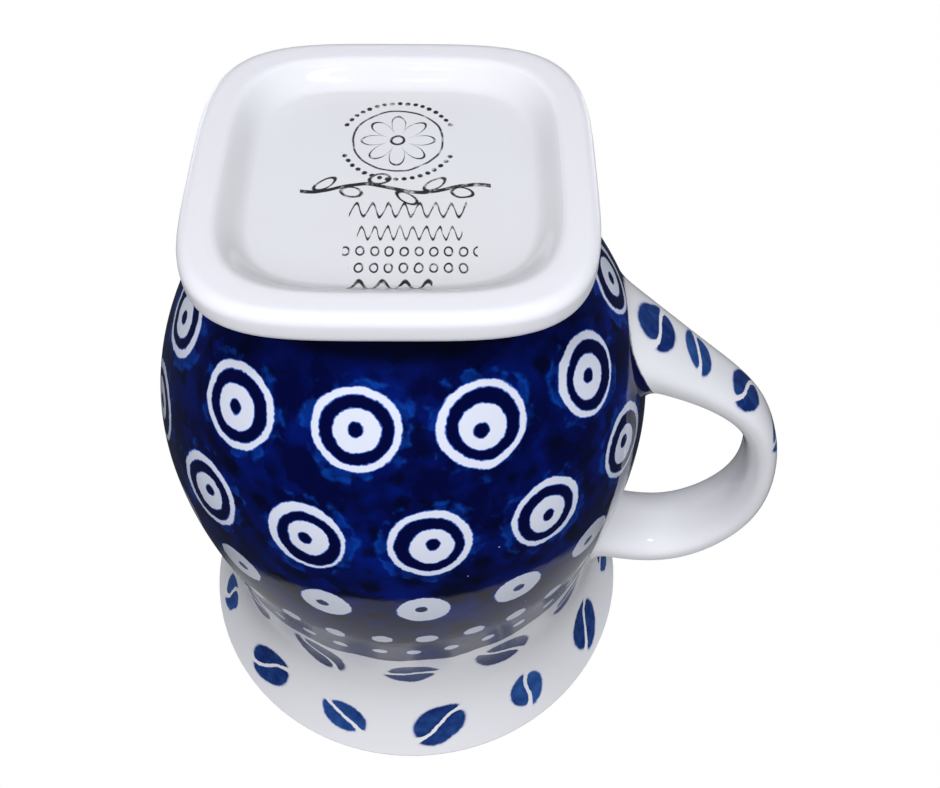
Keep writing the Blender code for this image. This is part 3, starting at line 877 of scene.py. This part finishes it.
def handle_glaze():
    """White glaze of the handle, with beans along the middle of its outer face."""
    paint = Paint("handle_glaze")
    along = paint.attribute("arc")
    girth = paint.attribute("girth")
    edge_across, edge_along = ragged(paint)
    turns = (along - HANDLE_BEAN_START) / HANDLE_BEAN_STEP + 0.5
    cell = turns.math("FLOOR")
    shift_x, shift_y, shade = paint.random(cell, 4.0, 2.3)
    cell_edges = [i + 0.5 for i in range(len(HANDLE_BEAN_TILTS) - 1)]
    along_bean = (turns - cell - 0.5) * HANDLE_BEAN_STEP + shift_y * 0.8 + edge_along * 0.6
    along_bean = along_bean - pick(cell, cell_edges, HANDLE_BEAN_ALONG)
    across = girth + shift_x * 0.7 + edge_across * 0.6 + pick(cell, cell_edges, HANDLE_BEAN_ACROSS)
    tilt = pick(cell, cell_edges, [math.radians(t) for t in HANDLE_BEAN_TILTS])
    length_way, width_way = turned_by(tilt, along_bean, across)
    small = cell.math("FLOORED_MODULO", 2.0)
    half_length, half_width = (small * -HANDLE_BEAN_SHRINK + size for size in HANDLE_BEAN_LARGE)
    mask, offset, body = bean(length_way, width_way, half_length, half_width, small * -0.2 + 0.55)
    outer_face = paint.attribute("outer_face")
    outwards = outer_face.above(-0.4, 0.2)
    mask = mask * outwards
    body = body * outwards
    colour = paint.mix(body * 0.35, white_ground(paint), BEAN_BLEED)
    colour = paint.mix(mask, colour, bean_colour(paint, small, offset, shade))
    overlap = (1.0 - outer_face) * ROOT_PAINT_OVERLAP + edge_across * 0.4
    painted_root = (paint.attribute("gap") - overlap).below(0.0, 0.25)
    painted_root = painted_root * along.below(HANDLE_BEAN_STEP, 1.0)
    colour = paint.mix(painted_root, colour, COBALT_DEEP)
    peel, _, _ = paint.noise(5.0, 2.0, shift=(7.0, 7.0, 7.0))
    return paint.finish(colour, HANDLE_ROUGHNESS, peel - mask * 0.1)


def line(distance, half_width):
    return distance.math("ABSOLUTE").below(half_width, 0.16)


def within(field, low, high):
    return field.math("GREATER_THAN", low) * field.math("LESS_THAN", high)


def flower_mark(right, down):
    """A round stamp: a flower with eight petals in a ring, with beads above and below it."""
    distance = length(right, down)
    angle = down.math("ARCTAN2", right)
    petal = (angle * 4.0).math("COSINE").math("ABSOLUTE").math("POWER", 0.6) * 3.6 + 1.5
    mark = line(distance - petal, 0.17)
    mark = mark + line(distance - 6.3, 0.15) + line(distance - 0.9, 0.18)
    bead_turns = angle * (44.0 / (2.0 * math.pi))
    bead_across = (bead_turns - bead_turns.math("ROUND")) * 1.14
    beads = length(bead_across, distance - 8.0).below(0.36, 0.16)
    return mark + beads * down.math("ABSOLUTE").math("GREATER_THAN", 2.6)


def sprig_mark(right, down):
    """A brushed stem that waves across the foot, with a leaf at each turn."""
    stem = down - (right * 0.42).math("SINE") * 0.8
    mark = line(stem, 0.34) * within(right, -12.6, 13.2)
    step = 3.74
    cell = (right / step).math("FLOOR")
    across = right - (cell + 0.5) * step
    side = cell.math("FLOORED_MODULO", 2.0) * 2.0 - 1.0
    along = stem + side * 1.35
    leaf = length((across + along * side * 0.6) / 1.25, along / 1.05)
    return mark + line(leaf - 1.0, 0.17) * within(right, -11.2, 11.2)


def border_marks(right, down):
    """Rows of small waves and beads under the sprig."""
    mark = None
    for place, height, period, weight, low, high in (
        (5.6, 1.25, 2.1, 0.24, -5.6, 10.0),
        (9.9, 1.15, 1.7, 0.22, -4.4, 9.4),
        (19.4, 0.95, 2.9, 0.34, -5.1, 5.6),
    ):
        wave = (right * (2.0 * math.pi / period)).math("SINE") * height
        slant = ((wave * wave) * -0.5 + height * height).math("MAXIMUM", 0.2).math("SQRT")
        row = line((down - place - wave) / (slant + 1.2), weight * 0.6) * within(right, low, high)
        mark = row if mark is None else mark + row
    for place, period, low, high in ((13.2, 1.9, -6.0, 11.4), (16.1, 1.9, -5.1, 10.6)):
        across = right / period
        across = (across - across.math("ROUND")) * period
        along = down - place
        bead = (across * across * 2.2 + along * along).math("SQRT")
        mark = mark + line(bead - 0.75, 0.17) * within(right, low, high)
    return mark


def printed_mark(paint, recess):
    """Generic ornament in dark ink on the recessed floor of the foot."""
    _, slip_x, slip_y = paint.noise(3.0, 1.0, shift=(1.0, 5.0, 0.0))
    right = paint.x + (slip_x - 0.5) * 0.45
    down = paint.y + (slip_y - 0.5) * 0.45
    mark = flower_mark(right - 0.3, down + 8.4)
    mark = mark + sprig_mark(right, down - 1.4)
    mark = mark + border_marks(right, down)
    wear, _, _ = paint.noise(1.3, 2.0, 0.7, shift=(2.0, 0.0, 9.0))
    worn = wear.above(0.38, 0.30) * 0.70 + 0.32
    return mark.math("MINIMUM", 1.0) * worn * recess


def foot_glaze():
    """White foot: matt wiped ring, glossy recess, specks and a generic printed ornament."""
    paint = Paint("foot_clay")
    half = paint.attribute("arc")
    ring = half.above(FOOT_HALF - FOOT_RING_WIDTH - 1.0, 1.2)
    colour = white_ground(paint)
    underside = paint.z.below((RECESS_DEPTH + FOOT_THICKNESS) / 2.0, 0.2)
    recess = half.below(FOOT_HALF - FOOT_RING_WIDTH - 1.5, 0.5) * underside
    colour = paint.mix(printed_mark(paint, recess), colour, INK)
    colour = paint.mix(ring * 0.7, colour, WIPED_CLAY)
    speck = specks(paint, 7.0, 0.20, 0.30, (4.0, 4.0, 4.0))
    colour = paint.mix(speck * 0.8, colour, SPECK_BROWN)
    grain, _, _ = paint.noise(0.7, 2.0)
    peel, _, _ = paint.noise(6.0, 2.0)
    roughness = ring * RING_ROUGHER_BY + RECESS_ROUGHNESS
    return paint.finish(colour, roughness, peel + grain * ring * 0.25)


# ---- stage
CAMERA_PLACE = (9.4, 115.18, -101.55)  # from the point where the axis meets the floor
CAMERA_FORWARD = (0.007, -0.6028, 0.7979)
CAMERA_RIGHT = (1.0, 0.0023, -0.0071)
CAMERA_LENS = 43.08
SENSOR_WIDTH = 36.0

LIGHT_TINT = (0.92, 0.94, 1.0)
ROOM_TINT = (0.80, 0.93, 1.0)
PANEL_TINT = (0.96, 0.98, 1.0)
WALL_TINT = (0.85, 0.96, 1.0)
AMBIENT = 0.17  # on matt surfaces, from behind the mug
AMBIENT_FRONT = 0.21  # and from below and in front of it
FRONT_SHARES = (0.60, -0.80)  # y and z of the direction called front
FRONT_GLOW_EDGE = (0.35, 0.9)  # where the glow starts, and its softness
ROOM_LIGHT = 0.04  # what a glossy surface sees of the room
SIDE_WALL_LIGHT = 0.05  # of its walls to the left and right
SIDE_WALL_EDGE = (0.52, 0.12)
SIDE_WALL_DEPTH = (-0.20, 0.20)
PANEL_LIGHT = 0.34  # and of the panel overhead
PANEL_EDGE = 0.88  # sine of the panel's lowest elevation
PANEL_SOFTNESS = 0.03
FLOOR_DROP = 0.1  # millimetres below the foot
FLOOR_SIDE = 2.5  # metres, half the floor's width
FLOOR_GREY = (0.80, 0.80, 0.80)
FLOOR_FADE = (0.16, 0.60)  # metres from the mug

MUG_CENTRE = (0.0, 0.0, 0.05)  # metres, as are the places of the lights
RECESS_AIM = (-0.024, -0.020, 0.002)
STRAP_AIM = (0.03, 0.005, 0.092)


def make_camera():
    data = bpy.data.cameras.new("camera")
    data.lens = CAMERA_LENS
    data.sensor_width = SENSOR_WIDTH
    data.clip_start = 0.005
    data.clip_end = 20.0
    camera = add_object("camera", data)
    forward = Vector(CAMERA_FORWARD).normalized()
    right = Vector(CAMERA_RIGHT)
    right = (right - forward * right.dot(forward)).normalized()
    up = right.cross(forward)
    turn = Matrix((right, up, -forward)).transposed().to_4x4()
    place = (Vector(CAMERA_PLACE) + Vector((AXIS_X, 0.0, 0.0))) * MM
    camera.matrix_world = Matrix.Translation(place) @ turn
    bpy.context.scene.camera = camera


def make_area_light(name, place, aim, size, power, glossy):
    data = bpy.data.lights.new(name, "AREA")
    data.shape = "RECTANGLE"
    data.size, data.size_y = size
    data.energy = power
    data.color = LIGHT_TINT
    light = add_object(name, data)
    light.location = place
    light.rotation_mode = "QUATERNION"
    light.rotation_quaternion = (Vector(aim) - Vector(place)).to_track_quat("-Z", "Y")
    light.visible_glossy = glossy
    light.visible_camera = False
    return light


def receivers(name, pieces):
    """A collection that limits a light to these pieces."""
    collection = bpy.data.collections.new(name)
    for piece in pieces:
        collection.objects.link(piece)
    return collection


def make_lights(cup_pieces, handle):
    """Soft light from below for the picture, and from above and behind for the other views."""
    white = receivers("white_receivers", cup_pieces[1:] + [handle])
    recess = receivers("recess_receiver", cup_pieces[2:])
    strap = receivers("glint_receiver", [handle])
    cup = receivers("softbox_receivers", cup_pieces)
    for name, place, aim, size, power, glossy, only in (
        ("key_below", (-0.06, 0.30, -0.70), MUG_CENTRE, (0.30, 0.30), 4.2, False, None),
        ("front_fill", (0.05, 0.75, -0.20), MUG_CENTRE, (0.45, 0.45), 1.2, False, None),
        ("camera_side", (0.03, 0.45, -0.40), MUG_CENTRE, (0.40, 0.40), 0.85, False, None),
        ("top", (0.0, -0.25, 0.85), MUG_CENTRE, (0.6, 0.6), 3.6, False, None),
        ("right_fill", (0.60, -0.45, 0.30), MUG_CENTRE, (0.4, 0.4), 1.8, False, None),
        ("left_fill", (-0.45, -0.60, 0.30), MUG_CENTRE, (0.4, 0.4), 1.8, False, None),
        ("white_right", (0.55, 0.45, -0.35), MUG_CENTRE, (0.4, 0.4), 0.65, False, white),
        ("white_left", (-0.55, 0.45, -0.35), MUG_CENTRE, (0.4, 0.4), 0.65, False, white),
        ("white_above", (0.0, 0.60, 0.25), MUG_CENTRE, (0.4, 0.4), 0.30, False, white),
        ("recess_glint", (0.032, 0.277, -0.516), RECESS_AIM, (0.14, 0.03), 0.16, True, recess),
        ("handle_glint", (0.219, 0.128, -0.465), STRAP_AIM, (0.05, 0.06), 0.33, True, strap),
        ("handle_spark", (0.396, 0.011, -0.384), STRAP_AIM, (0.025, 0.025), 0.08, True, strap),
        ("softbox_left", (-0.48, -0.62, 0.14), MUG_CENTRE, (0.26, 0.26), 0.9, True, cup),
        ("softbox_right", (0.48, -0.62, 0.14), MUG_CENTRE, (0.26, 0.26), 0.9, True, cup),
    ):
        light = make_area_light(name, place, aim, size, power, glossy)
        if only is not None:
            light.light_linking.receiver_collection = only


def make_world():
    """White backdrop for the camera, soft white light, and in the reflections a dark room.

    The room has a bright panel overhead and two faintly lit side walls.
    """
    world = bpy.data.worlds.new("studio")
    bpy.context.scene.world = world
    world.use_nodes = True
    tree = world.node_tree
    tree.nodes.clear()
    rays = add_node(tree, "LightPath").outputs
    x, y, z = split(tree, add_node(tree, "TexCoord").outputs["Generated"])

    def background(colour, strength):
        return add_node(tree, "Background", Color=(*colour, 1.0), Strength=strength).outputs[0]

    front = y * FRONT_SHARES[0] + z * FRONT_SHARES[1]
    aside = x.math("ABSOLUTE").above(*SIDE_WALL_EDGE) * front.below(*SIDE_WALL_DEPTH)
    soft = mix_shader(tree, front.above(*FRONT_GLOW_EDGE),
                      background(LIGHT_TINT, AMBIENT), background(LIGHT_TINT, AMBIENT_FRONT))
    room = mix_shader(tree, aside,
                      background(ROOM_TINT, ROOM_LIGHT), background(WALL_TINT, SIDE_WALL_LIGHT))
    room = mix_shader(tree, z.above(PANEL_EDGE, PANEL_SOFTNESS), room,
                      background(PANEL_TINT, PANEL_LIGHT))
    mixed = mix_shader(tree, rays["Is Glossy Ray"], soft, room)
    mixed = mix_shader(tree, rays["Is Camera Ray"], mixed, background((1.0, 1.0, 1.0), 1.0))
    add_node(tree, "OutputWorld", Surface=mixed)


def make_floor():
    """Pale floor seen from above only, so that the camera below looks through it."""
    data = bpy.data.meshes.new("floor")
    corners = [(x * FLOOR_SIDE, y * FLOOR_SIDE, 0.0)
               for x, y in ((-1, -1), (1, -1), (1, 1), (-1, 1))]
    data.from_pydata(corners, [], [(0, 1, 2, 3)])
    floor = add_object("floor", data)
    floor.location.z = -FLOOR_DROP * MM
    material = bpy.data.materials.new("floor")
    material.use_nodes = True
    tree = material.node_tree
    shader = tree.nodes["Principled BSDF"]
    shader.inputs["Base Color"].default_value = (*FLOOR_GREY, 1.0)
    shader.inputs["Roughness"].default_value = 0.8
    geometry = add_node(tree, "NewGeometry")
    place = add_node(tree, "VectorMath")
    place.operation = "LENGTH"
    plug(tree, geometry.outputs["Position"], place.inputs[0])
    low, high = FLOOR_FADE
    away = Field(tree, place.outputs["Value"]).above((low + high) / 2.0, high - low)
    unseen = away.math("MAXIMUM", Field(tree, geometry.outputs["Backfacing"]))
    clear = add_node(tree, "BsdfTransparent")
    shown = mix_shader(tree, unseen, shader.outputs[0], clear.outputs[0])
    plug(tree, shown, tree.nodes["Material Output"].inputs["Surface"])
    data.materials.append(material)
    floor.visible_diffuse = False
    floor.visible_glossy = False
    floor.visible_transmission = False
    floor.visible_shadow = False


# ---- the object
def dress(piece, material, slot, *nodes):
    piece.data.materials.append(material)
    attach(piece, "root")
    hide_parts(*nodes)


glaze = painted_glaze()
foot, belly, collar, handle = make_foot(), make_belly(), make_collar(), make_handle()
dress(foot, foot_glaze(), "foot_clay", "foot_slab")
dress(belly, glaze, "cobalt_glaze", "belly_shell", "foot_slip_joint", "neck_slip_joint")
dress(collar, glaze, "white_glaze", "collar")
dress(handle, handle_glaze(), "handle_glaze", "handle", "lower_handle_slip", "upper_handle_slip")

make_camera()
make_world()
make_lights([belly, collar, foot], handle)
make_floor()
bpy.context.scene.view_settings.view_transform = "Standard"
